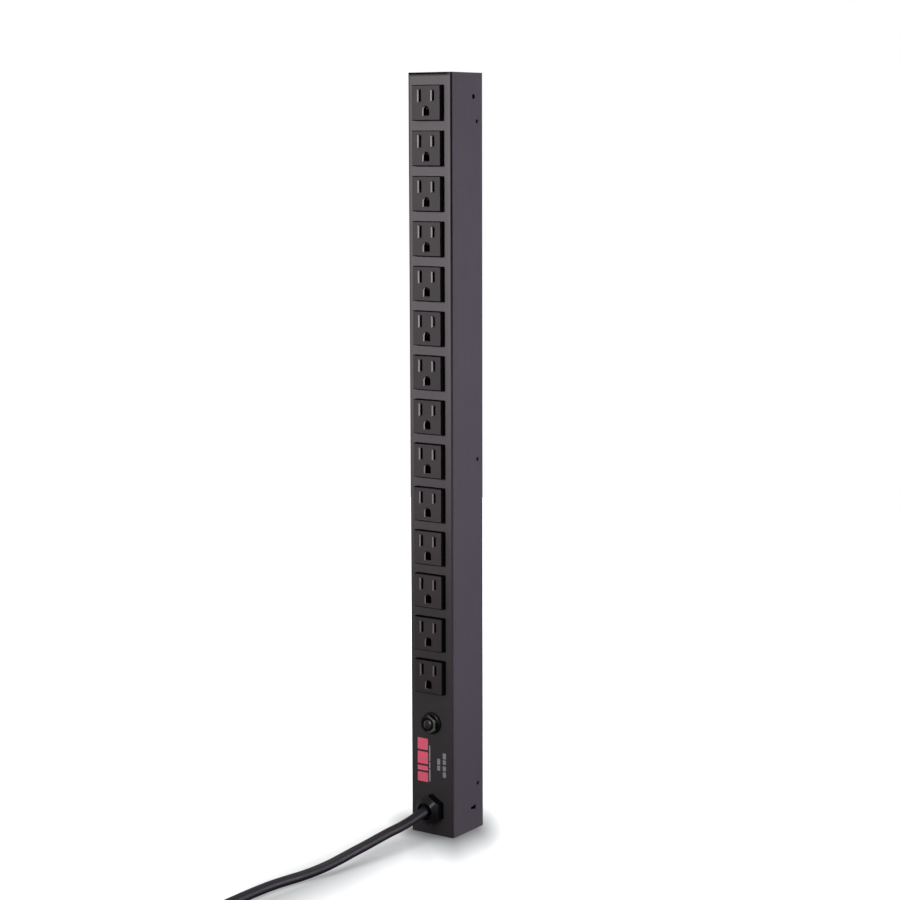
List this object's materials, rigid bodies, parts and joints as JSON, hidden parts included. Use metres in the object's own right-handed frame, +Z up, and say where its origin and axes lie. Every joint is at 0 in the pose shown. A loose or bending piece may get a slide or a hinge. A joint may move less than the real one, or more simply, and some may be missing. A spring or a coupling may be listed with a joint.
{
  "type": "rack power strip",
  "caption": "Vertical zero-U rack power strip: slim black steel housing, a column of three-pin outlets, push-to-reset breaker, and a mains cord through a cable gland, put away as a tied hank.",
  "frame": {"origin": "middle of the housing's bottom end face, on the floor", "axes": "+Z up along the housing; the front with the outlets faces -Y and the rear cover +Y; seen from the front, +X is to the right"},
  "size_m": [0.072, 0.5538, 0.6215],
  "materials": {
    "powder_coated_steel": "satin powder coat, very dark grey",
    "black_zinc": "blackened zinc plate",
    "outlet_moulding": "satin moulded nylon, near black",
    "brass": "spring brass",
    "copper": "bare copper",
    "insulating_sheet": "pressed insulating paper",
    "breaker_moulding": "phenolic, black",
    "breaker_cap": "phenolic, brown",
    "plated_steel": "bright zinc plate",
    "breaker_ring": "black plated, satin",
    "breaker_button": "black, half gloss",
    "spring_steel": "spring wire",
    "gland_nylon": "black nylon, half gloss",
    "seal_rubber": "matt black rubber",
    "black_insulation": "wire insulation, black",
    "white_insulation": "wire insulation, white",
    "green_insulation": "wire insulation, green",
    "cord_jacket": "matt black flexible jacket",
    "tie_nylon": "black nylon band",
    "plug_moulding": "moulded on, satin black"
  },
  "bodies": {
    "strip": {"front_housing": "powder_coated_steel", "rear_cover": "powder_coated_steel", "top_end_plate": "powder_coated_steel", "bottom_end_plate": "powder_coated_steel", "cover_screws": "black_zinc", "outlet_01": "outlet_moulding", "outlet_02": "outlet_moulding", "outlet_03": "outlet_moulding", "outlet_04": "outlet_moulding", "outlet_05": "outlet_moulding", "outlet_06": "outlet_moulding", "outlet_07": "outlet_moulding", "outlet_08": "outlet_moulding", "outlet_09": "outlet_moulding", "outlet_10": "outlet_moulding", "outlet_11": "outlet_moulding", "outlet_12": "outlet_moulding", "outlet_13": "outlet_moulding", "outlet_14": "outlet_moulding", "outlet_rear_caps": "outlet_moulding", "line_contacts": "brass", "neutral_contacts": "brass", "ground_contacts": "brass", "line_bus_bar": "copper", "neutral_bus_bar": "copper", "ground_bus_bar": "copper", "insulating_sheet": "insulating_sheet", "breaker_body": "breaker_moulding", "breaker_cap": "breaker_cap", "breaker_bushing": "plated_steel", "breaker_bezel": "breaker_ring", "breaker_nut": "breaker_ring", "breaker_spring": "spring_steel", "breaker_bimetal": "copper", "breaker_terminals": "brass", "gland_body": "gland_nylon", "gland_nut": "gland_nylon", "gland_seal": "seal_rubber", "gland_locknut": "gland_nylon", "line_supply_lead": "black_insulation", "line_load_lead": "black_insulation", "neutral_lead": "white_insulation", "ground_lead": "green_insulation", "ground_jumper": "green_insulation", "crimp_terminals": "plated_steel", "ground_stud": "plated_steel", "ground_nut": "plated_steel", "cord_lead": "cord_jacket", "cord_hank": "cord_jacket", "cord_tail": "cord_jacket", "hank_ties": "tie_nylon", "plug_body": "plug_moulding", "plug_strain_relief": "plug_moulding", "plug_line_blade": "brass", "plug_neutral_blade": "brass", "plug_ground_pin": "brass"},
    "reset_button": {"breaker_button": "breaker_button"}
  },
  "joints": [
    {"name": "breaker_reset", "type": "slide", "parent": "strip", "child": "reset_button", "axis": [0, -1, 0], "range_m": [0, 0.0035], "deforming": ["breaker_spring"]}
  ]
}
